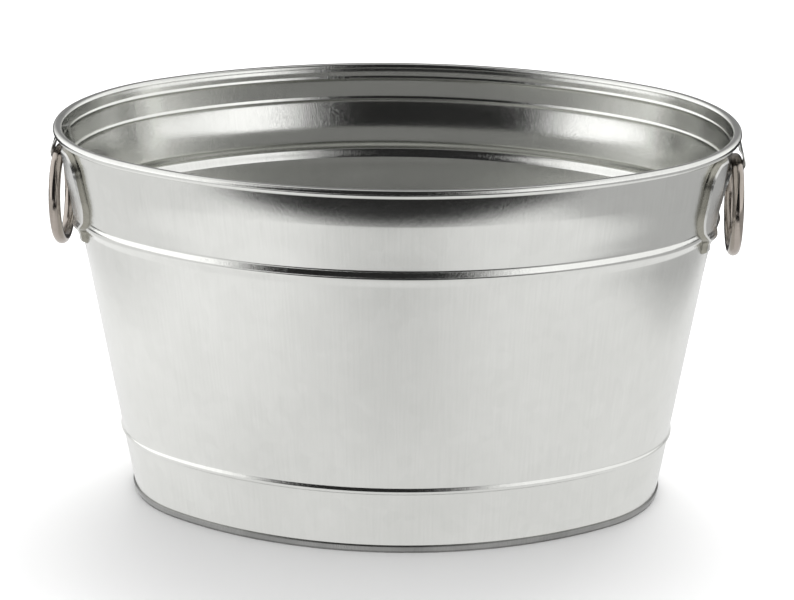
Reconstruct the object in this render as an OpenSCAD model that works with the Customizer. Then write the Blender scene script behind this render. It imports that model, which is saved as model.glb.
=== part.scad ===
// Oval galvanised steel tub with a wired rim, two raised beads, a seamed foot
// and a drop ring handle at each end. Millimetres, +Z up, +X along the long axis.
// The origin is the centre of the foot, on the surface that the tub stands on.

/* [Tub] */
// Length of the rolled rim, between roll centres
rim_len = 480; // [470:1:490]
// Width of the rolled rim, between roll centres
rim_wid = 345.6; // [340:0.4:352]
// Height of the rim roll's centre above the foot
rim_z = 274; // [262:1:286]
// How far the wall comes in from rim to foot, on each side
taper = 44.4; // [40:0.4:48]
// Thickness of the tub's sheet steel
sheet = 0.7; // [0.6:0.05:0.8]

/* [Rim and beads] */
// Outer radius of the rolled rim
roll_r = 3.2; // [3:0.1:3.6]
// Gap all round between the rim wire and the sheet rolled over it
wire_gap = 0.05; // [0.02:0.01:0.1]
// Height of the upper bead's crest above the foot
upper_bead_z = 212; // [208:1:214]
// Width of the upper bead
upper_bead_w = 13; // [11:0.5:15]
// How proud the upper bead stands
upper_bead_h = 2; // [1:0.1:2.5]
// Height of the lower bead's crest above the foot
lower_bead_z = 49; // [44:1:56]
// Width of the lower bead
lower_bead_w = 7; // [5:0.5:9]
// How proud the lower bead stands
lower_bead_h = 1.5; // [0.6:0.1:2]

/* [Foot] */
// Height of the bottom's underside above the foot
floor_z = 7; // [6:0.5:10]
// Height of the foot seam's outer leg
foot_h = 5.2; // [4:0.2:6]
// Thickness of the foot seam's outer leg, which is folded double
foot_leg = 1.1; // [0.8:0.1:1.4]

/* [Handles] */
// Radius of the ring handle, to the middle of its rod
ring_r = 32.4; // [31.5:0.1:33]
// Radius of the ring's rod
rod_r = 4.2; // [4:0.05:4.3]
// Clearance between the rod and its loop
loop_gap = 1; // [1:0.05:1.1]
// How far the loop's middle lies outside the middle of the rim roll
loop_out = 0.6; // [0.4:0.1:1.2]
// How far the loop's middle lies below the middle of the rim roll
loop_drop = 22.6; // [22:0.1:23.2]
// Width of the loop strap
loop_w = 16; // [12:1:18]
// Thickness of the loop strap
strap = 1; // [0.8:0.1:1.1]
// Thickness of the handle plate
plate_t = 0.9; // [0.7:0.1:1]

/* [Hidden] */
$fn = 96;

// The oval: two end arcs about (+-end_c, 0) and two side arcs about (0, +-side_c).
// Their centres and the joins between the arcs lie on 3-4-5 triangles, so the arcs are tangent.
unit = (rim_len - rim_wid) / 4;
end_c = 3 * unit;
side_c = 4 * unit;
end_r = rim_len / 2 - end_c;
side_r = end_r + 5 * unit;

// The wall is a line in (offset from the roll's middle, height), raised at the beads.
slope = taper / rim_z;
wall_t = sheet * sqrt(1 + slope * slope);
top_off = -(roll_r - sheet);
function wall_line(z) = top_off - slope * (rim_z - z);
function bead(z, mid, wid, high) =
    abs(z - mid) < wid / 2 ? high / 2 * (1 + cos(360 * (z - mid) / wid)) : 0;
function wall_out(z) = wall_line(z)
    + bead(z, upper_bead_z, upper_bead_w, upper_bead_h)
    + bead(z, lower_bead_z, lower_bead_w, lower_bead_h);
function steps(z0, z1, n) = [for (i = [0:n]) z0 + (z1 - z0) * i / n];
bead_steps = 8;
seam_in = 1.2;
upper_steps = steps(upper_bead_z - upper_bead_w / 2, upper_bead_z + upper_bead_w / 2, bead_steps);
wall_zs = concat(
    [seam_in],
    steps(lower_bead_z - lower_bead_w / 2, lower_bead_z + lower_bead_w / 2, bead_steps),
    upper_steps, [rim_z]
);

// Side seams, folded flat on the inside of the wall
seam_w = 8;
seam_t = 1.1;
seam_top = 5;

// Handle plate: y across the end of the tub, d down from the roll's middle
plate_gap = 0.05;
plate_top = 4.6;
plate_bottom = 67;
plate_side = 73;
plate_round = 16;
ear_y = 46;
ear_d = 72;
ear_r = 5;
hood_half = 12;
hood_end = 56;

// Rivets as [y, d], with a domed head outside and a flat one inside
rivet_spots = [[15, 33], [ear_y, ear_d]];
rivet_r = 1.6;
rivet_head_r = 3.3;
rivet_head_h = 1.5;
rivet_tail_r = 2.9;
rivet_tail_h = 0.9;

loop_x = rim_len / 2 + loop_out;
loop_z = rim_z - loop_drop;
loop_in_r = rod_r + loop_gap;
loop_out_r = loop_in_r + strap;
ring_top_z = loop_z + loop_gap / 2;
loop_lip = 5.2;
loop_lip_out = 3;
loop_tail = 52;
hood_x = loop_x - rod_r - 0.8;
hood_low = 30;

steel = [0.74, 0.75, 0.76];
nickel = [0.62, 0.58, 0.54];

// Sweep a profile, drawn in (offset, height), round part of the oval. Each arc is a full
// turn cut by a prism whose edges lie along the joins.
reach = 90;
tall = 2 * rim_z;

module arc_sweep(centre, r, cut) {
    intersection() {
        translate(centre) rotate_extrude() translate([r, 0]) children();
        translate([centre[0], centre[1], -1]) linear_extrude(tall) polygon(cut);
    }
}

module end_run(y0, y1)
    arc_sweep([end_c, 0, 0], end_r,
        [[0, 0], [3 * reach, 4 * reach * y0], [3 * reach, 4 * reach * y1]])
        children();

module side_run()
    arc_sweep([0, side_c, 0], side_r,
        [[0, 0], [-3 * reach, -4 * reach], [3 * reach, -4 * reach]])
        children();

module turned() rotate([0, 0, 180]) children();

module front_run() {
    end_run(-1, 0) children();
    side_run() children();
    turned() end_run(0, 1) children();
}

module whole_run() {
    end_run(-1, 1) children();
    side_run() children();
    turned() {
        end_run(-1, 1) children();
        side_run() children();
    }
}

// Flat oval, offset from the rim line
module oval(off) {
    r = end_r + off;
    band = end_c + 0.6 * r;
    for (s = [-1, 1]) translate([s * end_c, 0]) circle(r);
    intersection() {
        translate([0, side_c]) circle(side_r + off);
        translate([0, -side_c]) circle(side_r + off);
        square([2 * band, 4 * rim_wid], center = true);
    }
}

// A layer lying on the wall between two offsets
module wall_layer(zs, lo, hi)
    polygon(concat(
        [for (z = zs) [wall_out(z) + hi, z]],
        [for (i = [len(zs) - 1:-1:0]) [wall_out(zs[i]) + lo, zs[i]]]
    ));

module wall_profile() {
    difference() {
        union() {
            wall_layer(wall_zs, -wall_t, 0);
            translate([0, rim_z]) circle(roll_r);
        }
        translate([0, rim_z]) circle(roll_r - sheet);
    }
}

// One fold of the side seam, on the inside of one end
module side_seam() {
    zs = concat([floor_z + 3], [for (z = wall_zs) if (z > floor_z + 4 && z < rim_z) z],
        [rim_z - seam_top]);
    intersection() {
        translate([end_c, 0, 0]) rotate_extrude()
            translate([end_r, 0]) wall_layer(zs, -wall_t - seam_t, -wall_t / 2);
        translate([end_c, -seam_w, 0]) cube([end_r, seam_w, rim_z]);
    }
}

// Places something on the end wall, y across and d down, square to the slope
module on_wall(y, d) {
    r = end_r + wall_line(rim_z - d);
    turn = asin(y / r);
    translate([end_c, 0, rim_z - d]) rotate([0, 0, turn]) translate([r, 0, 0])
        rotate([0, 90 + atan(slope), 0]) children();
}

module rivet_holes()
    for (p = rivet_spots, s = [-1, 1])
        on_wall(s * p[0], p[1]) cylinder(r = rivet_r, h = 12, center = true);

module shell_half() {
    difference() {
        union() {
            front_run() wall_profile();
            side_seam();
        }
        rivet_holes();
        turned() rivet_holes();
    }
}

module shell_front() color(steel) shell_half();

module shell_back() color(steel) turned() shell_half();

module rim_wire()
    color(nickel) whole_run()
        translate([0, rim_z]) circle(roll_r - sheet - wire_gap);

// The bottom's edge is turned down inside the wall, under it and up outside it
module bottom_pan() {
    fit = 0.05;
    in_face = -wall_t - fit;
    edge = [
        [wall_line(foot_h) + fit, foot_h],
        [wall_line(foot_h) + fit + foot_leg, foot_h - 0.6],
        [wall_line(0) + fit + foot_leg, 0.4],
        [wall_line(0) + fit + foot_leg - 0.5, 0],
        [wall_line(0) + in_face - sheet, 0],
        [wall_line(floor_z) + in_face - sheet, floor_z],
        [wall_line(floor_z) + in_face - sheet, floor_z + sheet],
        [wall_line(floor_z + sheet) + in_face, floor_z + sheet],
        [wall_line(sheet) + in_face, sheet],
        [wall_line(sheet) + fit, sheet]
    ];
    color(steel) {
        whole_run() polygon(edge);
        translate([0, 0, floor_z])
            linear_extrude(sheet) oval(wall_line(floor_z) + in_face - sheet / 2);
    }
}

// Outline of the plate, drawn in (y, -d)
module plate_outline() {
    r = plate_round;
    low = plate_side - 9;
    corners = [
        [plate_side - 8, plate_top], [plate_side, 15], [plate_side - 1, 24],
        [low + 4, plate_bottom - 22],
        for (a = [0:15:90]) [low - r + r * cos(a) + 2, plate_bottom - r + r * sin(a)]
    ];
    polygon(concat(
        [for (c = corners) [c[0], -c[1]]],
        [for (i = [len(corners) - 1:-1:0]) [-corners[i][0], -corners[i][1]]]
    ));
    for (s = [-1, 1]) {
        translate([s * ear_y, -ear_d]) circle(ear_r);
        translate([s * ear_y - ear_r, -ear_d]) square([2 * ear_r, ear_d - plate_bottom + 4]);
    }
}

// Solid filling the inside of the end cone up to the plate's back
module end_core(off) {
    zs = concat([rim_z - 90], upper_steps, [rim_z]);
    translate([end_c, 0, 0]) rotate_extrude()
        polygon(concat(
            [[0, rim_z - 90]], [for (z = zs) [end_r + wall_out(z) + off, z]], [[0, rim_z]]
        ));
}

// Front of the plate, and of the hood pressed in it, at the middle of the end for a depth d
function plate_x(d) = rim_len / 2 + wall_line(rim_z - d) + plate_gap + plate_t;
function hood_line(d) =
    hood_x + (plate_x(hood_end) - hood_x) * (d - hood_low) / (hood_end - hood_low);

module handle_plate() {
    hood_top = (plate_x(0) - hood_x) / slope;
    buried = 4;
    color(steel) difference() {
        union() {
            intersection() {
                end_run(-1, 1)
                    wall_layer(concat([rim_z - 80], upper_steps, [rim_z - plate_top]),
                        plate_gap, plate_gap + plate_t);
                translate([0, 0, rim_z]) rotate([90, 0, 90])
                    linear_extrude(rim_len) plate_outline();
            }
            translate([0, hood_half, 0]) rotate([90, 0, 0]) linear_extrude(2 * hood_half)
                polygon([
                    [hood_x, rim_z - hood_top], [hood_x, rim_z - hood_low],
                    [plate_x(hood_end), rim_z - hood_end],
                    [plate_x(hood_end) - buried, rim_z - hood_end],
                    [hood_x - buried, rim_z - hood_top]
                ]);
        }
        end_core(plate_gap);
        rivet_holes();
    }
}

// Side view of the strap: a lip under the rim, the curl round the rod and a tail on the hood
module loop_profile() {
    touch = 0.02;
    lip_x = rim_len / 2 + loop_lip_out;
    under_lip = loop_lip + strap;
    tail_x = hood_line(loop_tail) + touch;
    outer = [for (a = [10:-8:-78]) [loop_x + loop_out_r * cos(a), loop_z + loop_out_r * sin(a)]];
    inner = [for (a = [-94:8:10]) [loop_x + loop_in_r * cos(a), loop_z + loop_in_r * sin(a)]];
    polygon(concat(
        [[plate_x(loop_lip) + touch, rim_z - loop_lip], [lip_x, rim_z - loop_lip]],
        outer,
        [
            [hood_x + strap + touch, rim_z - hood_low - 1],
            [tail_x + strap, rim_z - loop_tail],
            [tail_x, rim_z - loop_tail],
            [hood_x + touch, rim_z - hood_low]
        ],
        inner,
        [
            [lip_x - strap, rim_z - under_lip],
            [plate_x(under_lip) + touch, rim_z - under_lip]
        ]
    ));
}

module ring_loop()
    color(steel) translate([0, loop_w / 2, 0]) rotate([90, 0, 0])
        linear_extrude(loop_w) loop_profile();

// A rivet from its domed head, through plate and wall, to its tail inside
module rivet() {
    face = plate_gap + plate_t + 0.05;
    back = wall_t + 0.1;
    dome_r = (rivet_head_r * rivet_head_r + rivet_head_h * rivet_head_h) / (2 * rivet_head_h);
    translate([0, 0, -back - 0.2]) cylinder(r = rivet_r - 0.02, h = face + back + 0.4);
    intersection() {
        translate([0, 0, face + rivet_head_h - dome_r]) sphere(dome_r);
        translate([0, 0, face]) cylinder(r = rivet_head_r, h = rivet_head_h + 1);
    }
    translate([0, 0, -back - rivet_tail_h]) cylinder(r = rivet_tail_r, h = rivet_tail_h);
}

module plate_rivets()
    color(steel) for (p = rivet_spots, s = [-1, 1])
        on_wall(s * p[0], p[1]) rivet();

module ring()
    color(nickel) translate([loop_x, 0, ring_top_z - ring_r]) rotate([0, 90, 0])
        rotate_extrude() translate([ring_r, 0]) circle(rod_r);

shell_front();
shell_back();
rim_wire();
bottom_pan();
turned() handle_plate();  // handle_plate_left
handle_plate();  // handle_plate_right
turned() ring_loop();  // ring_loop_left
ring_loop();  // ring_loop_right
turned() plate_rivets();  // plate_rivets_left
plate_rivets();  // plate_rivets_right
turned() ring();  // ring_left
ring();  // ring_right
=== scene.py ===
"""Looks of the oval galvanised tub with two ring handles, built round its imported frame."""

import math

import bmesh
import bpy
import numpy as np
from mathutils import Matrix, Vector
from mathutils.geometry import delaunay_2d_cdt


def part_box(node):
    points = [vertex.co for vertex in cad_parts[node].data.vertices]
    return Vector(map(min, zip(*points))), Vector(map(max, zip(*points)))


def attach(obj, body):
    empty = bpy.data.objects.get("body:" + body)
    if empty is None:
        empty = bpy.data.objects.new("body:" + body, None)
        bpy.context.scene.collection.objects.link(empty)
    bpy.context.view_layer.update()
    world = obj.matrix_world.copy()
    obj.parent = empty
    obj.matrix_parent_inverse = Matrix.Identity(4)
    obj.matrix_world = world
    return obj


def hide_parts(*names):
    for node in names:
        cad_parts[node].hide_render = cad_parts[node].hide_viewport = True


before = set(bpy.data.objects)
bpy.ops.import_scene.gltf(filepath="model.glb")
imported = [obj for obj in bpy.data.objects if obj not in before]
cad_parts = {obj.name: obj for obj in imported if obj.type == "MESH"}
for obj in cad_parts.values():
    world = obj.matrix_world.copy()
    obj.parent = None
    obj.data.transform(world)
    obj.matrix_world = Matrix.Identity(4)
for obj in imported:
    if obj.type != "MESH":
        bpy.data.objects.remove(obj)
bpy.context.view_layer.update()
MM = 0.001

# ---------------------------------------------------------------- sizes, from the frame

wire_low, wire_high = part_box("rim_wire")
shell_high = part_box("shell_front")[1]
ring_low, ring_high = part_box("ring_right")
loop_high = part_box("ring_loop_right")[1]

WIRE_R = (wire_high.z - wire_low.z) / 2
RIM_Z = (wire_high.z + wire_low.z) / 2
HALF_LENGTH = wire_high.x - WIRE_R
HALF_WIDTH = wire_high.y - WIRE_R
ROLL_R = shell_high.z - RIM_Z
ROD_R = (ring_high.x - ring_low.x) / 2
RING_R = (ring_high.z - ring_low.z) / 2 - ROD_R
RING_X = (ring_high.x + ring_low.x) / 2
RING_Z = (ring_high.z + ring_low.z) / 2
LOOP_HALF = loop_high.y
LOOP_OUT_R = loop_high.x - RING_X

# The oval's four arcs: their centres and joins lie on 3-4-5 triangles
UNIT = (HALF_LENGTH - HALF_WIDTH) / 2
END_C = 3 * UNIT
SIDE_C = 4 * UNIT
END_R = HALF_LENGTH - END_C
SIDE_R = END_R + 5 * UNIT
JOIN = math.atan2(4, 3)

# The wall: its sheet, its taper over the whole height, and its beads as (crest, width, height)
SHEET = 0.7 * MM
TAPER = 44.4 * MM
SLOPE = TAPER / RIM_Z
WALL_TOP = SHEET - ROLL_R
UPPER_BEAD = (212 * MM, 13 * MM, 2.0 * MM)
LOWER_BEAD = (49 * MM, 7 * MM, 1.5 * MM)
CURL_END = -142

# Under the roll: the bulge that curling the rim leaves, and the two fine ridges inside
BULGE_FOOT = 226 * MM
BULGE_CREST = 250 * MM
BULGE_TOP = 271 * MM
CREASES = (250.5 * MM, 266.3 * MM)
CREASE_HIGH = 0.32 * MM
CREASE_REACH = 2.7 * MM

# The side seams, the foot seam and the bottom
JOINT_GAP = 0.2 * MM
FOLD_WIDE = 8 * MM
FOLD_T = 1.1 * MM
SEAM_IN = 1.2 * MM
SEAM_FIT = 0.05 * MM
FOOT_HIGH = 5.2 * MM
FOOT_LEG = 1.1 * MM
FLOOR_Z = 7.7 * MM
FLOOR_SINK = 0.8 * MM

# The handle plate, from its top edge down, and the hood that the strap is riveted to
PLATE_GAP = 0.05 * MM
PLATE_T = 0.9 * MM
PLATE_TOP = 4.6 * MM
PLATE_FOOT = 78 * MM
PLATE_SIDE = 73 * MM
PANEL_HIGH = 1.1 * MM
PANEL_FOOT = 69 * MM
BORDER = 2.6 * MM
HOOD_OUT = RING_X - ROD_R - 0.8 * MM
HOOD_HALF = 12 * MM
HOOD_HIGH = 3 * MM
HOOD_LOW = 30 * MM
HOOD_END = 57 * MM
STRAP = 1.0 * MM
STRAP_END = 52 * MM
LOOP_Z = RIM_Z - 22.6 * MM

# Each rivet's (across, down) from the middle of the end, and its lift off the plain wall
RIVETS = [((15 * MM, 33 * MM), 1.0 * MM), ((46 * MM, 72 * MM), 0.0)]


def wall_line(z):
    """Offset of the wall's outer face from the rim line, without the beads."""
    return WALL_TOP - SLOPE * (RIM_Z - z)


def bead(z, shape):
    """Height of a raised bead, as (crest, width, height), at z."""
    mid, width, high = shape
    if abs(z - mid) >= width / 2:
        return 0.0
    return high / 2 * (1 + math.cos(2 * math.pi * (z - mid) / width))


def wall_face(z):
    """Offset of the wall's outer face from the rim line, with the beads."""
    return wall_line(z) + bead(z, UPPER_BEAD) + bead(z, LOWER_BEAD)


def rim_pull(angle, z):
    """How far the sheet bulges to the crease under the roll, most on the long sides."""
    if z < BULGE_FOOT or z > BULGE_TOP:
        return 0.0
    along = min(1.0, max(0.0, (abs(math.sin(angle)) - 0.70) / 0.2))
    bulge = (0.4 + along) * MM
    if z < BULGE_CREST:
        t = (z - BULGE_FOOT) / (BULGE_CREST - BULGE_FOOT)
        return bulge * t * t * (3 - 2 * t)
    t = (z - BULGE_CREST) / (BULGE_TOP - BULGE_CREST)
    return bulge * (1 - 0.45 * t - 0.55 * t * t)


def dents(angle, s, z):
    """The unevenness of rolled sheet at arc length s and height z, with the bulge at the rim."""
    wave = (
        0.10 * math.sin(23 * s + 9 * z + 0.6)
        + 0.07 * math.sin(41 * s - 17 * z + 2.1)
        + 0.05 * math.sin(13 * s + 47 * z + 4.0)
    )
    fade = min(1.0, max(0.0, (RIM_Z - 8 * MM - z) / (40 * MM))) * min(1.0, z / (30 * MM))
    return wave * fade * MM + rim_pull(angle, z)


# ---------------------------------------------------------------- the oval


def oval_arc(angle):
    """Centre and radius of the arc whose outward normal points at angle."""
    c, s = math.cos(angle), math.sin(angle)
    if math.atan2(abs(s), abs(c)) < JOIN:
        return Vector((math.copysign(END_C, c), 0)), END_R
    return Vector((0, -math.copysign(SIDE_C, s))), SIDE_R


def oval_point(angle, offset, z):
    """The point at height z, an offset outside the oval where its normal points at angle."""
    centre, radius = oval_arc(angle)
    r = radius + offset
    return (centre.x + r * math.cos(angle), centre.y + r * math.sin(angle), z)


def oval_angles(start, stop, step):
    """Normal angles from start to stop, about one step of arc apart, and the arc length at each."""
    fine = np.linspace(start, stop, 2400)
    radii = np.array([oval_arc(a)[1] for a in fine])
    length = np.concatenate([[0], np.cumsum(np.diff(fine) * (radii[1:] + radii[:-1]) / 2)])
    count = max(2, int(round(length[-1] / step)) + 1)
    at = np.linspace(0, length[-1], count)
    return np.interp(at, length, fine), at


# ---------------------------------------------------------------- mesh helpers


def link(name, mesh):
    """A new object in the scene for a mesh."""
    obj = bpy.data.objects.new(name, mesh)
    bpy.context.scene.collection.objects.link(obj)
    return obj


def mesh_object(name, points, faces, uvs, sharp=35.0):
    """A smooth-shaded object from points, faces and a uv per point, creased past sharp degrees."""
    mesh = bpy.data.meshes.new(name)
    mesh.from_pydata([tuple(p) for p in points], [], faces)
    layer = mesh.uv_layers.new(name="wrap")
    for loop in mesh.loops:
        layer.data[loop.index].uv = uvs[loop.vertex_index]
    mesh.validate()
    bm = bmesh.new()
    bm.from_mesh(mesh)
    bmesh.ops.recalc_face_normals(bm, faces=bm.faces)
    bm.to_mesh(mesh)
    bm.free()
    mesh.shade_smooth()
    mesh.set_sharp_from_angle(angle=math.radians(sharp))
    return link(name, mesh)


def band_sweep(one_face, other_face, angles, lengths, uneven=None):
    """Points, faces and uvs of a sheet band, given by the profiles of its two faces, swept
    round the oval. A full turn closes on itself, and any other run gets end faces."""
    ring = one_face + other_face[::-1]
    n, m, k = len(ring), len(angles), len(one_face)
    full = abs(angles[-1] - angles[0]) > 2 * math.pi - 1e-6
    along = [0.0]
    for a, b in zip(ring, ring[1:]):
        along.append(along[-1] + math.dist(a, b))
    points, uvs = [], []
    for angle, length in zip(angles[: m - 1] if full else angles, lengths):
        for (off, z), v in zip(ring, along):
            extra = uneven(angle, length, z) if uneven else 0.0
            points.append(oval_point(angle, off + extra, z))
            uvs.append((length, v))
    columns = m - 1 if full else m
    faces = []
    for j in range(m - 1):
        a, b = j * n, ((j + 1) % columns) * n
        for i in range(n):
            i2 = (i + 1) % n
            faces.append((a + i, b + i, b + i2, a + i2))
    if not full:
        for base in (0, (m - 1) * n):
            for i in range(k - 1):
                faces.append((base + i, base + i + 1, base + n - 2 - i, base + n - 1 - i))
    return points, faces, uvs


def joined(parts):
    """Several (points, faces, uvs) as one."""
    points, faces, uvs = [], [], []
    for p, f, u in parts:
        base = len(points)
        points += p
        uvs += u
        faces += [tuple(i + base for i in face) for face in f]
    return points, faces, uvs


def half_turned(obj, name):
    """A copy of obj turned half round the tub."""
    mesh = obj.data.copy()
    mesh.name = name
    mesh.transform(Matrix.Rotation(math.pi, 4, "Z"))
    copy = link(name, mesh)
    for modifier in obj.modifiers:
        twin = copy.modifiers.new(modifier.name, modifier.type)
        for prop in modifier.bl_rna.properties:
            if not prop.is_readonly and prop.identifier not in ("name", "type"):
                setattr(twin, prop.identifier, getattr(modifier, prop.identifier))
    return copy


def arc_points(cx, cy, r, start, stop, count):
    """Points on a circle from start to stop, in degrees."""
    turns = np.radians(np.linspace(start, stop, count))
    return [(cx + r * math.cos(t), cy + r * math.sin(t)) for t in turns]


# ---------------------------------------------------------------- the shell


def spread(low, high, step):
    """Even marks from low to high, at most a step apart."""
    return list(np.linspace(low, high, max(2, int(math.ceil((high - low) / step)) + 1)))


def wall_heights():
    """Heights up the wall, close together over the beads and the fine ridges."""
    marks = [SEAM_IN]
    for mid, width, _ in (LOWER_BEAD, UPPER_BEAD):
        marks += spread(marks[-1], mid - width / 2, 7 * MM)[1:]
        marks += spread(mid - width / 2, mid + width / 2, 0.55 * MM)[1:]
    marks += spread(marks[-1], CREASES[0] - 3.5 * MM, 3 * MM)[1:]
    for mid in CREASES:
        marks += spread(marks[-1], mid - CREASE_REACH, 1.5 * MM)[1:]
        marks += spread(mid - CREASE_REACH, mid + CREASE_REACH, 0.6 * MM)[1:]
    return marks + spread(marks[-1], RIM_Z, 1.0 * MM)[1:]


def crease(z):
    """The two fine ridges inside, under the roll, left by the curling dies."""
    return CREASE_HIGH * sum(math.exp(-(((z - mid) / (0.95 * MM)) ** 2)) for mid in CREASES)


def shell_profile():
    """The two faces of the shell's sheet: up the wall and round the rim wire. The face that
    looks into the tub runs on as the outside of the roll."""
    heights = wall_heights()[:-1]
    inside_face = [(wall_face(z) - SHEET - crease(z), z) for z in heights]
    outside_face = [(wall_face(z), z) for z in heights]
    inside_face += arc_points(0, RIM_Z, ROLL_R, 180, CURL_END, 44)
    outside_face += arc_points(0, RIM_Z, ROLL_R - SHEET, 180, CURL_END, 44)
    return inside_face, outside_face


def seam_fold_profile():
    """The lap inside each end, where one shell is folded over the other."""
    heights = [z for z in wall_heights() if 10 * MM < z < RIM_Z - 5 * MM]
    inside_face = [(wall_face(z) - SHEET - FOLD_T, z) for z in heights]
    hidden_face = [(wall_face(z) - SHEET / 2, z) for z in heights]
    return inside_face, hidden_face


def build_shells():
    """The front and back halves of the tub's wall, each with its rolled rim and one lap."""
    joint = JOINT_GAP / END_R
    angles, lengths = oval_angles(-math.pi + joint, -joint, 2.6 * MM)
    wall = band_sweep(*shell_profile(), angles, lengths, dents)
    fold_angles, fold_lengths = oval_angles(-FOLD_WIDE / END_R, -joint / 2, 1.6 * MM)
    fold = band_sweep(*seam_fold_profile(), fold_angles, fold_lengths)
    front = mesh_object("tub_shell_front", *joined([wall, fold]))
    back = half_turned(front, "tub_shell_back")
    return front, back


# ---------------------------------------------------------------- the bottom


def pan_profile():
    """The folded foot seam and the flange that carries the bottom, as one band."""
    leg_top = wall_line(FOOT_HIGH) + SEAM_FIT
    leg_foot = wall_line(0) + SEAM_FIT
    in_face = -SHEET - SEAM_FIT
    outer = [
        (leg_top + 0.1 * MM, FOOT_HIGH),
        (leg_top + 0.45 * FOOT_LEG, FOOT_HIGH),
        (leg_top + 0.85 * FOOT_LEG, FOOT_HIGH - 0.25 * MM),
        (leg_top + FOOT_LEG, FOOT_HIGH - 0.7 * MM),
        (wall_line(3 * MM) + SEAM_FIT + FOOT_LEG, 3 * MM),
        (leg_foot + FOOT_LEG, 0.8 * MM),
        (leg_foot + 0.85 * FOOT_LEG, 0.3 * MM),
        (leg_foot + 0.5 * FOOT_LEG, 0.0),
        (wall_line(0) + in_face - SHEET * 0.6, 0.0),
        (wall_line(0) + in_face - SHEET * 0.95, 0.35 * MM),
        (wall_line(3 * MM) + in_face - SHEET, 3 * MM),
        (wall_line(5.4 * MM) + in_face - SHEET, 5.4 * MM),
        (wall_line(6.6 * MM) + in_face - 1.5 * SHEET, 6.6 * MM),
        (wall_line(7 * MM) + in_face - 4 * SHEET, 7.0 * MM),
    ]
    inner = [
        (leg_top, FOOT_HIGH),
        (leg_top, FOOT_HIGH - 0.1 * MM),
        (leg_top, FOOT_HIGH - 0.3 * MM),
        (leg_top, FOOT_HIGH - 0.8 * MM),
        (wall_line(3 * MM) + SEAM_FIT, 3 * MM),
        (leg_foot + 0.1 * MM, 1.1 * MM),
        (leg_foot, 0.8 * MM),
        (leg_foot - 0.1 * MM, SHEET),
        (wall_line(0) + in_face + 0.1 * MM, SHEET),
        (wall_line(0) + in_face, 0.9 * MM),
        (wall_line(3 * MM) + in_face, 3 * MM),
        (wall_line(6 * MM) + in_face, 6 * MM),
        (wall_line(7.4 * MM) + in_face - 0.4 * SHEET, 7.3 * MM),
        (wall_line(7.7 * MM) + in_face - 3 * SHEET, 7.7 * MM),
    ]
    return outer, inner


def bottom_disc(edge, angles, z):
    """One face of the bottom: an oval sheet at z whose middle sinks inside a pressed step."""
    steps = [(1.0, 0), (0.97, 0), (0.93, 0), (0.925, 0.1), (0.915, 0.5), (0.905, 0.9)]
    steps += [(scale, 1) for scale in (0.9, 0.8, 0.6, 0.4, 0.2, 0.05)]
    points, uvs, faces = [], [], []
    m = len(angles) - 1
    for scale, sink in steps:
        for angle in angles[:m]:
            x, y, _ = oval_point(angle, edge, 0)
            points.append((x * scale, y * scale, z - FLOOR_SINK * sink))
            uvs.append((x * scale, y * scale))
    for r in range(len(steps) - 1):
        for j in range(m):
            j2 = (j + 1) % m
            faces.append((r * m + j, r * m + j2, (r + 1) * m + j2, (r + 1) * m + j))
    last = (len(steps) - 1) * m
    points.append((0, 0, z - FLOOR_SINK))
    uvs.append((0, 0))
    faces += [(last + j, last + (j + 1) % m, len(points) - 1) for j in range(m)]
    return points, faces, uvs


def build_pan():
    """The bottom sheet with its folded foot seam, whose faces take the second, darker material."""
    angles, lengths = oval_angles(-math.pi, math.pi, 3 * MM)
    ring = band_sweep(*pan_profile(), angles, lengths)
    edge = wall_line(7 * MM) - 4.5 * SHEET
    top = bottom_disc(edge, angles, FLOOR_Z)
    under = bottom_disc(edge, angles, FLOOR_Z - SHEET)
    pan = mesh_object("bottom_pan_sheet", *joined([ring, top, under]))
    for face in pan.data.polygons:
        face.material_index = int(face.center.z < FOOT_HIGH + 0.1 * MM)
    return pan


# ---------------------------------------------------------------- handle plates


def rounded(corners):
    """A closed outline from (x, y, radius) corners, each turned by a small curve."""
    outline = []
    n = len(corners)
    for i, (x, y, r) in enumerate(corners):
        here = Vector((x, y))
        before = (Vector(corners[i - 1][:2]) - here).normalized()
        after = (Vector(corners[(i + 1) % n][:2]) - here).normalized()
        for t in np.linspace(0, 1, 7):
            a = here + before * r * (1 - t) ** 2
            outline.append(a + after * r * t ** 2)
    return outline


def plate_outline():
    """The plate's outline in (across, down): corners down its right side, then mirrored."""
    right = [
        (64 * MM, PLATE_TOP, 4 * MM),
        (73 * MM, 14 * MM, 8 * MM),
        (70 * MM, 50 * MM, 9 * MM),
        (60 * MM, 64 * MM, 7 * MM),
        (51.5 * MM, 67.5 * MM, 2 * MM),
        (50.8 * MM, 77 * MM, 4 * MM),
        (41.2 * MM, 77 * MM, 4 * MM),
        (40.5 * MM, 67 * MM, 2 * MM),
    ]
    left = [(-x, y, r) for x, y, r in reversed(right)]
    corners = rounded(right + left)
    outline = []
    for here, there in zip(corners, corners[1:] + corners[:1]):
        pieces = max(1, int((there - here).length / (1.2 * MM)))
        outline += [here.lerp(there, i / pieces) for i in range(pieces)]
    return outline


def edge_distance(points, outline):
    """Distance from each point to the outline."""
    a = np.array([tuple(p) for p in outline])
    b = np.roll(a, -1, axis=0)
    p = np.array(points)[:, None, :]
    d = b - a
    t = np.clip(((p - a) * d).sum(-1) / np.maximum((d * d).sum(-1), 1e-18), 0, 1)
    return np.sqrt(((p - (a + t[..., None] * d)) ** 2).sum(-1)).min(1)


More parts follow.
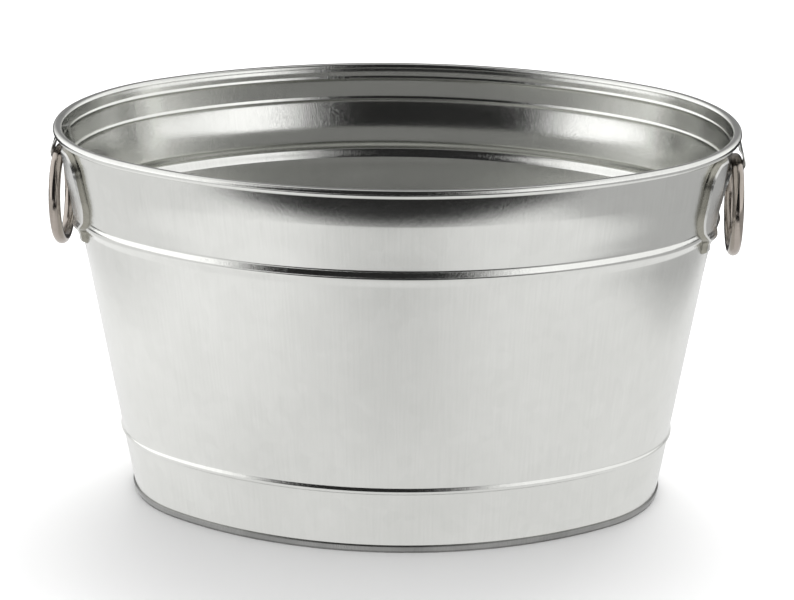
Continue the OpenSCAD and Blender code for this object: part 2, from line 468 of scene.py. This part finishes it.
def inside(points, outline):
    """Which of the points lie inside the outline."""
    a = np.array([tuple(p) for p in outline])
    b = np.roll(a, -1, axis=0)
    x, y = np.array(points)[:, 0:1], np.array(points)[:, 1:2]
    rise = b[:, 1] - a[:, 1]
    rise = np.where(np.abs(rise) < 1e-12, 1e-12, rise)
    meets = (b[:, 0] - a[:, 0]) * (y - a[:, 1]) / rise + a[:, 0]
    cross = ((a[:, 1] > y) != (b[:, 1] > y)) & (x < meets)
    return cross.sum(1) % 2 == 1


def smooth_step(low, high, x):
    """0 up to low and 1 from high on, with a smooth rise between."""
    t = np.clip((x - low) / (high - low), 0, 1)
    return t * t * (3 - 2 * t)


def facet_edge(down):
    """Where the middle's flat side facets end and the raised panels begin, across the plate."""
    return 44 * MM - 0.2 * np.clip(down - 20 * MM, 0, 1)


def hood_rise(across, down):
    """How far the hood, the flat-sided middle of the plate, stands off the curved wall."""
    radius = END_R + wall_line(RIM_Z - down) + PLATE_GAP + PLATE_T
    at_low = HALF_LENGTH + wall_line(RIM_Z - HOOD_LOW) + PLATE_GAP + PLATE_T
    upper = np.maximum(HOOD_OUT - END_C - radius, 0.2 * MM)
    lower = (HOOD_OUT - at_low) * np.clip((HOOD_END - down) / (HOOD_END - HOOD_LOW), 0, 1)
    crest = radius + np.where(down < HOOD_LOW, upper, lower)
    reach = np.abs(across)
    edge = facet_edge(down)
    foot = np.sqrt(radius ** 2 - edge ** 2)
    facet = crest - (crest - foot) * np.clip((reach - HOOD_HALF) / (edge - HOOD_HALF), 0, 1)
    curve = np.sqrt(radius ** 2 - reach ** 2)
    return np.clip(facet - curve, 0, HOOD_HIGH)


def plate_points():
    """Points of the plate's face in (across, down), dense at its rim, and their triangles."""
    outline = plate_outline()
    step = 1.6 * MM
    xs = np.arange(-PLATE_SIDE, PLATE_SIDE + step, step)
    ys = np.arange(PLATE_TOP, PLATE_FOOT, step)
    grid = [(x + (step / 2 if r % 2 else 0), y) for r, y in enumerate(ys) for x in xs]
    keep = inside(grid, outline)
    gap = edge_distance(grid, outline)
    field = [p for p, k, g in zip(grid, keep, gap) if k and g > 5.2 * MM]
    centre = Vector((0, 34 * MM))
    n = len(outline)
    inwards = []
    for i, p in enumerate(outline):
        along = outline[(i + 1) % n] - outline[i - 1]
        normal = Vector((-along.y, along.x)).normalized()
        inwards.append(normal if normal.dot(centre - p) > 0 else -normal)
    rings = []
    for inset in (0.3, 0.8, 1.5, 2.2, 3.0, 3.8, 4.6):
        ring = [(p + inward * inset * MM)[:] for p, inward in zip(outline, inwards)]
        ok = inside(ring, outline)
        away = edge_distance(ring, outline)
        rings += [q for q, k, g in zip(ring, ok, away) if k and g > 0.93 * inset * MM]
    verts = [Vector(p) for p in [*outline, *rings, *field]]
    edges = [(i, (i + 1) % n) for i in range(n)]
    co, _, tris, *_ = delaunay_2d_cdt(verts, edges, [list(range(n))], 1, 1e-7)
    return np.array([tuple(c) for c in co]), tris, outline


def plate_lift(co, outline):
    """Height of the plate's face off the wall: a rounded edge, the raised panels and the hood."""
    gap = edge_distance(co, outline)
    across, down = co[:, 0], co[:, 1]
    edge = PLATE_T * np.sqrt(1 - (1 - np.clip(gap / (0.9 * MM), 0, 1)) ** 2)
    low = np.clip((PANEL_FOOT - down) / (6 * MM), 0, 1)
    inner = facet_edge(down)
    side = smooth_step(inner - 1.5 * MM, inner + 1.2 * MM, np.abs(across))
    panel = PANEL_HIGH * smooth_step(1.7 * MM, 3.0 * MM, gap) * low * side
    hood = hood_rise(across, down)
    return PLATE_GAP + edge + panel + hood * smooth_step(0, 3 * MM, gap)


def plate_place(across, down, lift):
    """The point of the end wall at a width across and a depth down, lifted off its face."""
    z = RIM_Z - down
    turn = math.asin(across / (END_R + wall_line(z)))
    radius = END_R + wall_face(z) + rim_pull(turn, z)
    tilt = math.atan(SLOPE)
    r = radius + lift * math.cos(tilt)
    return (END_C + r * math.cos(turn), r * math.sin(turn), z - lift * math.sin(tilt))


def build_plate():
    """The right handle plate, a pressing whose border takes the second material, a painted dark
    reflection.
    """
    co, tris, outline = plate_points()
    lift = plate_lift(co, outline)
    top = [plate_place(a, d, h) for (a, d), h in zip(co, lift)]
    back = [plate_place(a, d, PLATE_GAP) for a, d in co]
    n = len(co)
    faces = [tuple(t) for t in tris] + [tuple(i + n for i in reversed(t)) for t in tris]
    uses = {}
    for t in tris:
        for a, b in zip(t, [*t[1:], t[0]]):
            key = (min(a, b), max(a, b))
            uses[key] = uses.get(key, 0) + 1
    faces += [(a, b, b + n, a + n) for (a, b), count in uses.items() if count == 1]
    uvs = [tuple(c) for c in co] * 2
    plate = mesh_object("handle_plate_right_pressing", top + back, faces, uvs, sharp=50)
    gap = edge_distance(co, outline)
    # Border faces take the darker metal, a painted reflection.
    for face in plate.data.polygons:
        face.material_index = int(max(gap[v % n] for v in face.vertices) < BORDER)
    return plate


# ---------------------------------------------------------------- loops, rings and rivets


def loop_path():
    """The strap's outer face, seen from the side, in (x, z)."""
    lip_x = HALF_LENGTH + 3 * MM
    lip_z = RIM_Z - 5.2 * MM
    tail_z = RIM_Z - STRAP_END
    start = HALF_LENGTH + wall_line(lip_z) + PLATE_GAP + PLATE_T + 0.6 * MM
    tail_x = HALF_LENGTH + wall_line(tail_z) + PLATE_GAP + PLATE_T + STRAP + 0.4 * MM
    path = [(start, lip_z + 0.3 * MM), (lip_x - 1.6 * MM, lip_z + 0.1 * MM)]
    path += [(lip_x - 0.5 * MM, lip_z - 0.4 * MM), (lip_x + 0.1 * MM, lip_z - 1.6 * MM)]
    curl = arc_points(RING_X, LOOP_Z, LOOP_OUT_R, 12, -84, 22)
    low = (HOOD_OUT + STRAP + 0.5 * MM, RIM_Z - HOOD_LOW - 0.6 * MM)
    path += [tuple(np.array(path[-1]) + (np.array(curl[0]) - path[-1]) * t) for t in (0.33, 0.66)]
    path += curl
    path += [(low[0] + 1.3 * MM, low[1] + 0.7 * MM), low, (low[0] - 0.7 * MM, low[1] - 1.6 * MM)]
    for t in (0.35, 0.7, 1.0):
        path.append((path[-1][0] + (tail_x - path[-1][0]) * t, low[1] + (tail_z - low[1]) * t))
    return path


def build_loop():
    """The right ring loop: a strap bent over the rod, crowned and flared at its mouth."""
    path = np.array(loop_path())
    along = np.gradient(path, axis=0)
    along /= np.linalg.norm(along, axis=1)[:, None]
    inward = np.stack([along[:, 1], -along[:, 0]], 1)
    count = 13
    rows = np.linspace(-LOOP_HALF, LOOP_HALF, count)
    points, uvs, faces = [], [], []
    length = np.concatenate([[0], np.cumsum(np.linalg.norm(np.diff(path, axis=0), axis=1))])
    for depth in (0.0, STRAP):
        for p, nrm, s in zip(path, inward, length):
            q = p + nrm * depth
            crown = 2.2 * MM * smooth_step(LOOP_Z + 5 * MM, LOOP_Z + 11 * MM, q[1])
            flare = 1 + 0.3 * smooth_step(LOOP_Z - 1 * MM, LOOP_Z + 5 * MM, q[1])
            for y in rows:
                points.append((q[0] - crown * (y / LOOP_HALF) ** 2, y * flare, q[1]))
                uvs.append((y, s))
    n, m = count, len(path)
    side = n * m
    for i in range(m - 1):
        for j in range(n - 1):
            a = i * n + j
            faces.append((a, a + 1, a + n + 1, a + n))
            faces.append((side + a, side + a + n, side + a + n + 1, side + a + 1))
        for j in (0, n - 1):
            a = i * n + j
            faces.append((a, a + n, side + a + n, side + a))
    for i in (0, m - 1):
        for j in range(n - 1):
            a = i * n + j
            faces.append((a, a + 1, side + a + 1, side + a))
    obj = mesh_object("ring_loop_right_strap", points, faces, uvs, sharp=40)
    bevel = obj.modifiers.new("rounded_edges", "BEVEL")
    bevel.width = 0.3 * MM
    bevel.segments = 3
    bevel.limit_method = "ANGLE"
    bevel.angle_limit = math.radians(60)
    return obj


def build_ring():
    """The right drop ring: a rod bent to a circle, with the fine line where its ends meet."""
    turns, sides = 168, 36
    points, uvs, faces = [], [], []
    for i in range(turns):
        a = 2 * math.pi * i / turns
        near_joint = min(abs(a - math.pi / 2), 1.0)
        rod = ROD_R - 0.18 * MM * math.exp(-(near_joint / 0.018) ** 2)
        for j in range(sides):
            b = 2 * math.pi * j / sides
            r = RING_R + rod * math.cos(b)
            points.append((RING_X + rod * math.sin(b), r * math.cos(a), RING_Z + r * math.sin(a)))
            uvs.append((RING_R * a, ROD_R * b))
    for i in range(turns):
        for j in range(sides):
            i2, j2 = (i + 1) % turns, (j + 1) % sides
            faces.append((i * sides + j, i2 * sides + j, i2 * sides + j2, i * sides + j2))
    return mesh_object("drop_ring_right", points, faces, uvs, sharp=80)


def rivet_profile():
    """Half section of a rivet along its axis: domed head outside and flat tail inside."""
    base = PLATE_GAP + PLATE_T + 0.05 * MM
    head_r, head_h = 3.3 * MM, 1.5 * MM
    dome_r = (head_r ** 2 + head_h ** 2) / (2 * head_h)
    top = base + head_h
    reach = math.asin(head_r / dome_r)
    section = [(0.0, top)]
    for t in np.linspace(0, 1, 9)[1:]:
        section.append((dome_r * math.sin(reach * t), top - dome_r * (1 - math.cos(reach * t))))
    back = SHEET + 0.1 * MM
    section += [(head_r, base - 0.15 * MM), (1.55 * MM, base - 0.2 * MM), (1.55 * MM, -back)]
    section += [(2.7 * MM, -back), (2.9 * MM, -back - 0.3 * MM), (2.3 * MM, -back - 0.9 * MM)]
    return section + [(0.0, -back - 0.9 * MM)]


def rivet_at(across, down, lift):
    """A rivet square to the wall, as (points, faces, uvs)."""
    section = rivet_profile()
    sides = 28
    z = RIM_Z - down
    radius = END_R + wall_line(z)
    turn = math.asin(across / radius)
    tilt = math.atan(SLOPE)
    out = Vector((math.cos(turn) * math.cos(tilt), math.sin(turn) * math.cos(tilt), -math.sin(tilt)))
    side = Vector((-math.sin(turn), math.cos(turn), 0))
    up = out.cross(side)
    base = Vector((END_C + radius * math.cos(turn), radius * math.sin(turn), z))
    points, uvs, faces = [], [], []
    for r, h in section:
        raised = h + (lift if h > 0 else 0)
        for k in range(sides):
            a = 2 * math.pi * k / sides
            p = base + out * raised + (side * math.cos(a) + up * math.sin(a)) * max(r, 0.02 * MM)
            points.append(tuple(p))
            uvs.append((r * math.cos(a) + across, r * math.sin(a) + down))
    for i in range(len(section) - 1):
        for k in range(sides):
            k2 = (k + 1) % sides
            faces.append((i * sides + k, i * sides + k2, (i + 1) * sides + k2, (i + 1) * sides + k))
    faces.append(tuple(range(sides)))
    faces.append(tuple((len(section) - 1) * sides + k for k in range(sides)))
    return points, faces, uvs


def build_rivets():
    """The four rivets of the right plate: two beside the strap and two on the ears."""
    parts = []
    for (across, down), lift in RIVETS:
        parts += [rivet_at(s * across, down, lift) for s in (-1, 1)]
    return mesh_object("plate_rivets_right_set", *joined(parts), sharp=45)


# ---------------------------------------------------------------- shader helpers


class Tree:
    """A thin wrapper that adds nodes to a tree and links them as they are made."""

    def __init__(self, tree):
        self.tree = tree

    def add(self, kind, inputs=None, **settings):
        node = self.tree.nodes.new(kind)
        for key, value in settings.items():
            setattr(node, key, value)
        for key, value in (inputs or {}).items():
            self.put(node.inputs[key], value)
        return node

    def put(self, socket, value):
        if isinstance(value, bpy.types.NodeSocket):
            self.tree.links.new(value, socket)
        else:
            socket.default_value = value

    def math(self, operation, a, b=0.0, clamp=False):
        node = self.add("ShaderNodeMath", {0: a, 1: b}, operation=operation, use_clamp=clamp)
        return node.outputs[0]

    def scaled(self, vector, scale):
        node = self.add("ShaderNodeVectorMath", {0: vector, 1: scale}, operation="MULTIPLY")
        return node.outputs[0]

    def noise(self, vector, scale, detail, rough, kind="3D"):
        inputs = {"Vector": vector, "Scale": scale, "Detail": detail, "Roughness": rough}
        return self.add("ShaderNodeTexNoise", inputs, noise_dimensions=kind).outputs["Fac"]

    def span(self, value, low, high, to_low=0.0, to_high=1.0):
        """value taken from low..high to to_low..to_high, held at both ends."""
        inputs = {"Value": value, "From Min": low, "From Max": high}
        inputs.update({"To Min": to_low, "To Max": to_high})
        return self.add("ShaderNodeMapRange", inputs, clamp=True).outputs["Result"]

    def product(self, first, *others):
        """All the values multiplied together."""
        for other in others:
            first = self.math("MULTIPLY", first, other)
        return first

    def blend(self, factor, a, b):
        node = self.add("ShaderNodeMix", data_type="RGBA")
        self.put(node.inputs["Factor"], factor)
        self.put(node.inputs["A"], a)
        self.put(node.inputs["B"], b)
        return node.outputs["Result"]


def shader_group(name, inputs, outputs, fill):
    """A node group with named sockets, filled by fill(tree, group input, group output)."""
    group = bpy.data.node_groups.new(name, "ShaderNodeTree")
    for label, kind in inputs:
        group.interface.new_socket(name=label, in_out="INPUT", socket_type=kind)
    for label, kind in outputs:
        group.interface.new_socket(name=label, in_out="OUTPUT", socket_type=kind)
    tree = Tree(group)
    start = tree.add("NodeGroupInput")
    end = tree.add("NodeGroupOutput")
    fill(tree, start, end)
    return group


def fill_zinc_cloud(tree, start, end):
    """Soft clouding and crystal flecks of a zinc coat, in metres of object space."""
    place = start.outputs["Place"]
    cloud = tree.noise(place, 14.0, 5.0, 0.6)
    patch = tree.noise(place, 5.0, 2.0, 0.5)
    warp = tree.add("ShaderNodeTexNoise", {"Vector": place, "Scale": 60.0, "Detail": 2.0})
    moved = tree.add("ShaderNodeVectorMath", operation="MULTIPLY_ADD")
    tree.put(moved.inputs[0], warp.outputs["Color"])
    tree.put(moved.inputs[1], (0.012, 0.012, 0.012))
    tree.put(moved.inputs[2], place)
    cells = tree.add("ShaderNodeTexVoronoi", {"Vector": moved.outputs[0], "Scale": 95.0})
    fleck = tree.add("ShaderNodeSeparateColor", {"Color": cells.outputs["Color"]}).outputs[0]
    mixed = tree.math("ADD", tree.product(cloud, 0.6), tree.product(patch, 0.4))
    tree.put(end.inputs["Cloud"], tree.span(mixed, 0.34, 0.66))
    tree.put(end.inputs["Fleck"], fleck)


def fill_drawn_grain(tree, start, end):
    """Fine lines left by the rolls: long along the second axis of the given coordinates."""
    place = start.outputs["Place"]
    fine = tree.noise(tree.scaled(place, (2900.0, 260.0, 1.0)), 1.0, 2.0, 0.6, "2D")
    broad = tree.noise(tree.scaled(place, (700.0, 22.0, 1.0)), 1.0, 3.0, 0.6, "2D")
    tree.put(end.inputs["Fine"], tree.span(fine, 0.25, 0.75))
    tree.put(end.inputs["Broad"], tree.span(broad, 0.3, 0.7))


FLOAT = "NodeSocketFloat"
PLACE = [("Place", "NodeSocketVector")]
ZINC_CLOUD = shader_group(
    "zinc_cloud", PLACE, [("Cloud", FLOAT), ("Fleck", FLOAT)], fill_zinc_cloud
)
DRAWN_GRAIN = shader_group(
    "drawn_grain", PLACE, [("Fine", FLOAT), ("Broad", FLOAT)], fill_drawn_grain
)


def new_material(name):
    """A material with one Principled shader: the material, its tree and the shader."""
    mat = bpy.data.materials.new(name)
    mat.use_nodes = True
    tree = Tree(mat.node_tree)
    mat.node_tree.nodes.clear()
    shader = tree.add("ShaderNodeBsdfPrincipled")
    out = tree.add("ShaderNodeOutputMaterial")
    tree.put(out.inputs["Surface"], shader.outputs["BSDF"])
    return mat, tree, shader


def use_group(tree, group, **inputs):
    """A node group placed in a tree, with its named sockets filled."""
    node = tree.add("ShaderNodeGroup", node_tree=group)
    for key, value in inputs.items():
        tree.put(node.inputs[key], value)
    return node


def metal(name, light, dark, rough, grain=0.02 * MM, cloud=0.5):
    """Zinc-coated or polished steel: clouded colour, streaked roughness and a fine drawn grain."""
    mat, tree, shader = new_material(name)
    object_place = tree.add("ShaderNodeTexCoord").outputs["Object"]
    wrap = tree.add("ShaderNodeUVMap", uv_map="wrap").outputs["UV"]
    zinc = use_group(tree, ZINC_CLOUD, Place=object_place)
    lines = use_group(tree, DRAWN_GRAIN, Place=wrap)
    mottle = tree.product(zinc.outputs["Cloud"], cloud)
    streak = tree.product(lines.outputs["Broad"], 0.18)
    fleck = tree.product(zinc.outputs["Fleck"], 0.15)
    shade = tree.math("ADD", tree.math("ADD", mottle, streak), fleck, clamp=True)
    tree.put(shader.inputs["Base Color"], tree.blend(shade, (*light, 1), (*dark, 1)))
    rough_cloud = tree.product(zinc.outputs["Cloud"], 0.06)
    rough_lines = tree.product(lines.outputs["Fine"], 0.05)
    total = tree.math("ADD", tree.math("ADD", rough_cloud, rough_lines), rough)
    tree.put(shader.inputs["Roughness"], total)
    shader.inputs["Metallic"].default_value = 1.0
    relief = tree.math("ADD", lines.outputs["Fine"], tree.product(zinc.outputs["Fleck"], 0.2))
    bump = tree.add("ShaderNodeBump", {"Height": relief, "Distance": grain, "Strength": 1.0})
    tree.put(shader.inputs["Normal"], bump.outputs["Normal"])
    return mat


def make_materials():
    """Each metal's light and dark colour, roughness, depth of grain and strength of clouding."""
    return {
        "sheet": metal("galvanised_sheet", (0.80, 0.803, 0.778), (0.68, 0.684, 0.658), 0.075),
        "plate": metal("galvanised_pressing", (0.72, 0.72, 0.70), (0.60, 0.60, 0.585), 0.16),
        "rivet": metal("zinc_rivet", (0.60, 0.60, 0.58), (0.42, 0.42, 0.40), 0.2),
        "ring": metal(
            "nickel_toned_rod", (0.50, 0.45, 0.405), (0.36, 0.32, 0.285), 0.09, 0.008 * MM, 0.7
        ),
        "wire": metal("drawn_wire", (0.55, 0.55, 0.54), (0.40, 0.40, 0.39), 0.3),
        # The foot seam takes a darker metal than the wall.
        "foot": metal(
            "dark_foot_seam", (0.42, 0.42, 0.41), (0.22, 0.22, 0.215), 0.24, 0.04 * MM, 0.8
        ),
        # Painted reflection: a darker olive colour on the plate's border bevel stands in for the dark
        # surroundings it reflects.
        "edge": metal(
            "plate_border_painted_reflection", (0.40, 0.39, 0.34), (0.27, 0.262, 0.225), 0.2, 0.02 * MM, 0.8
        ),
    }


# ---------------------------------------------------------------- assembly


def dress(obj, mats, body, node):
    """Gives a piece its materials, keeping which face takes which, and its place in the frame."""
    kept = [face.material_index for face in obj.data.polygons]
    obj.data.materials.clear()
    for each in mats:
        obj.data.materials.append(each)
    for face, index in zip(obj.data.polygons, kept):
        face.material_index = min(index, len(mats) - 1)
    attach(obj, body)
    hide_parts(node)


def build_tub(mats):
    """The fixed body: its wall and bottom, and the wire inside the rolled rim."""
    front, back = build_shells()
    dress(front, [mats["sheet"]], "tub", "shell_front")
    dress(back, [mats["sheet"]], "tub", "shell_back")
    dress(build_pan(), [mats["sheet"], mats["foot"]], "tub", "bottom_pan")
    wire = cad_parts["rim_wire"]
    wire.data.materials.clear()
    wire.data.materials.append(mats["wire"])


def build_handles(mats):
    """Plate, strap, rivets and ring for the right end, and each again for the left end."""
    pieces = [
        (build_plate, "handle_plate", ("plate", "edge"), "plate_steel", "tub"),
        (build_loop, "ring_loop", ("plate",), "plate_steel", "tub"),
        (build_rivets, "plate_rivets", ("rivet",), "rivet_steel", "tub"),
        (build_ring, "ring", ("ring",), "ring_steel", "ring_handle"),
    ]
    for build, node, metals, slot, body in pieces:
        right = build()
        left = half_turned(right, right.name.replace("right", "left"))
        for side, obj in (("right", right), ("left", left)):
            rides = f"{body}_{side}" if body == "ring_handle" else body
            dress(obj, [mats[key] for key in metals], rides, f"{node}_{side}")


# ---------------------------------------------------------------- studio


REFLECTOR_Z = 1.5 * MM
UNLIT = 0.016


def flat_square(name, half, z):
    """A level square of side 2 * half at height z."""
    corners = [(-half, -half, z), (half, -half, z), (half, half, z), (-half, half, z)]
    mesh = bpy.data.meshes.new(name)
    mesh.from_pydata(corners, [], [(0, 1, 2, 3)])
    return link(name, mesh)


def build_floor():
    """A plain, pale and matt floor."""
    floor = flat_square("studio_floor", 6.0, 0)
    mat, tree, shader = new_material("pale_floor")
    place = tree.add("ShaderNodeTexCoord").outputs["Object"]
    grain = tree.noise(place, 3.0, 3.0, 0.5)
    tone = tree.blend(grain, (0.9, 0.9, 0.9, 1), (0.93, 0.93, 0.93, 1))
    tree.put(shader.inputs["Base Color"], tone)
    shader.inputs["Roughness"].default_value = 0.9
    shader.inputs["Specular IOR Level"].default_value = 0.0
    floor.data.materials.append(mat)


def build_table_reflector():
    """What the polished sheet sees of the table: a card just above it that only reflections
    see, pale round the tub, shaded at the front middle and the right, and dark past its edges."""
    card = flat_square("table_reflector", 5.0, REFLECTOR_Z)
    mat = bpy.data.materials.new("table_reflector")
    mat.use_nodes = True
    tree = Tree(mat.node_tree)
    mat.node_tree.nodes.clear()
    place = tree.add("ShaderNodeTexCoord").outputs["Object"]
    parts = tree.add("ShaderNodeSeparateXYZ", {"Vector": place})
    x, y = parts.outputs["X"], parts.outputs["Y"]
    wide = tree.math("ABSOLUTE", x)
    pale = tree.span(x, -0.36, -0.12, 1.01, 0.90)
    left = tree.span(x, -0.54, -0.42, 0.16, 0.0)
    right = tree.span(x, 0.41, 0.52, 0.0, 0.38)
    middle = tree.product(tree.span(wide, 0.02, 0.24, 0.25, 0.0), tree.span(y, -0.2, -0.5, 0.35, 1.0))
    pale = tree.math("SUBTRACT", pale, middle)
    pale = tree.math("SUBTRACT", pale, tree.math("ADD", right, left))
    front_edge = tree.product(
        tree.span(y, -0.60, -0.52, 1.0, 0.0), tree.span(wide, 0.55, 0.75, 1.0, 0.0)
    )
    back_edge = tree.span(y, 0.46, 0.56, 0.0, 0.93)
    dark = tree.math("MAXIMUM", front_edge, back_edge)
    level = tree.product(pale, tree.math("SUBTRACT", 1.0, dark))
    level = tree.math("MAXIMUM", level, 0.02)
    glow = tree.add("ShaderNodeEmission", {"Color": (1, 1, 1, 1), "Strength": level})
    out = tree.add("ShaderNodeOutputMaterial")
    tree.put(out.inputs["Surface"], glow.outputs[0])
    card.data.materials.append(mat)
    for ray in ("camera", "diffuse", "shadow", "transmission", "volume_scatter"):
        setattr(card, f"visible_{ray}", False)


def build_world():
    """White all round, but reflections also see an unlit room: in front, above and behind."""
    world = bpy.data.worlds.new("studio")
    bpy.context.scene.world = world
    world.use_nodes = True
    tree = Tree(world.node_tree)
    world.node_tree.nodes.clear()
    way = tree.add("ShaderNodeTexCoord").outputs["Generated"]
    parts = tree.add("ShaderNodeSeparateXYZ", {"Vector": way})
    x, y, z = parts.outputs["X"], parts.outputs["Y"], parts.outputs["Z"]
    flat = tree.math("SQRT", tree.math("ADD", tree.product(x, x), tree.product(y, y)))
    flat = tree.math("MAXIMUM", flat, 0.001)
    ahead = tree.math("DIVIDE", y, flat)
    toward = tree.math("ADD", tree.product(x, -0.148), tree.product(y, -0.989))
    toward = tree.math("DIVIDE", toward, flat)
    front = tree.product(tree.span(toward, 0.765, 0.86), tree.span(z, 0.975, 0.998, 1.0, 0.0))
    above = tree.product(tree.span(y, 0.04, 0.22, 1.0, 0.0), tree.span(z, 0.6, 0.9))
    above = tree.product(above, tree.span(tree.math("ABSOLUTE", x), 0.3, 0.55, 1.0, 0.0))
    behind = tree.product(
        tree.span(ahead, 0.70, 0.96, 0.0, 0.80), tree.span(z, 0.88, 0.99, 1.0, 0.0)
    )
    room = tree.math("MAXIMUM", tree.math("MAXIMUM", front, above), behind)
    lit = tree.span(z, -0.1, 0.9, 1.5, 1.1)
    side = tree.span(x, 0.3, 1.0, 1.0, 0.80)
    shade = tree.product(lit, side, tree.math("SUBTRACT", 1.0, room))
    shade = tree.math("MAXIMUM", shade, UNLIT)
    glossy = tree.add("ShaderNodeLightPath").outputs["Is Glossy Ray"]
    level = tree.add("ShaderNodeMix", {"Factor": glossy}, data_type="FLOAT")
    tree.put(level.inputs["A"], 1.0)
    tree.put(level.inputs["B"], shade)
    glow = {"Color": (1, 1, 1, 1), "Strength": level.outputs["Result"]}
    sky = tree.add("ShaderNodeBackground", glow)
    out = tree.add("ShaderNodeOutputWorld")
    tree.put(out.inputs["Surface"], sky.outputs[0])


def area_light(name, place, target, size, power):
    """A soft rectangular lamp at place, turned to target, that reflections don't show."""
    light = bpy.data.lights.new(name, "AREA")
    light.shape = "RECTANGLE"
    light.size, light.size_y = size
    light.energy = power
    lamp = bpy.data.objects.new(name, light)
    bpy.context.scene.collection.objects.link(lamp)
    lamp.visible_glossy = False
    lamp.location = place
    lamp.rotation_mode = "QUATERNION"
    lamp.rotation_quaternion = (Vector(target) - Vector(place)).to_track_quat("-Z", "Y")


def build_lights():
    """One soft lamp overhead, the world round it, and the table that reflections see."""
    build_world()
    area_light("overhead_soft_box", (0.1, 0.75, 1.8), (0, 0, 0), (1.8, 1.2), 30)
    build_table_reflector()


CAMERA_DISTANCE = 1.786
CAMERA_RISE = math.radians(19.23)
CAMERA_TURN = math.radians(2.61)
CAMERA_ROLL = math.radians(0.235)
CAMERA_LENS = 111.37
CAMERA_SHIFT = (0.0014, 0.0092)


def build_camera():
    """A long lens that looks down on the tub's middle from the front."""
    camera = bpy.data.cameras.new("studio_camera")
    obj = bpy.data.objects.new("studio_camera", camera)
    bpy.context.scene.collection.objects.link(obj)
    camera.lens = CAMERA_LENS
    camera.sensor_width = 36
    camera.shift_x, camera.shift_y = CAMERA_SHIFT
    aim = Vector((0, 0, RIM_Z / 2))
    flat = math.cos(CAMERA_RISE)
    back = Vector(
        (math.sin(CAMERA_TURN) * flat, -math.cos(CAMERA_TURN) * flat, math.sin(CAMERA_RISE))
    )
    obj.location = aim + back * CAMERA_DISTANCE
    obj.rotation_mode = "QUATERNION"
    look = (-back).to_track_quat("-Z", "Y")
    obj.rotation_quaternion = look @ Matrix.Rotation(CAMERA_ROLL, 3, "Z").to_quaternion()
    camera.clip_start = 0.05
    camera.clip_end = 50
    bpy.context.scene.camera = obj


materials = make_materials()
build_tub(materials)
build_handles(materials)
build_floor()
build_lights()
build_camera()
bpy.context.scene.view_settings.view_transform = "Standard"
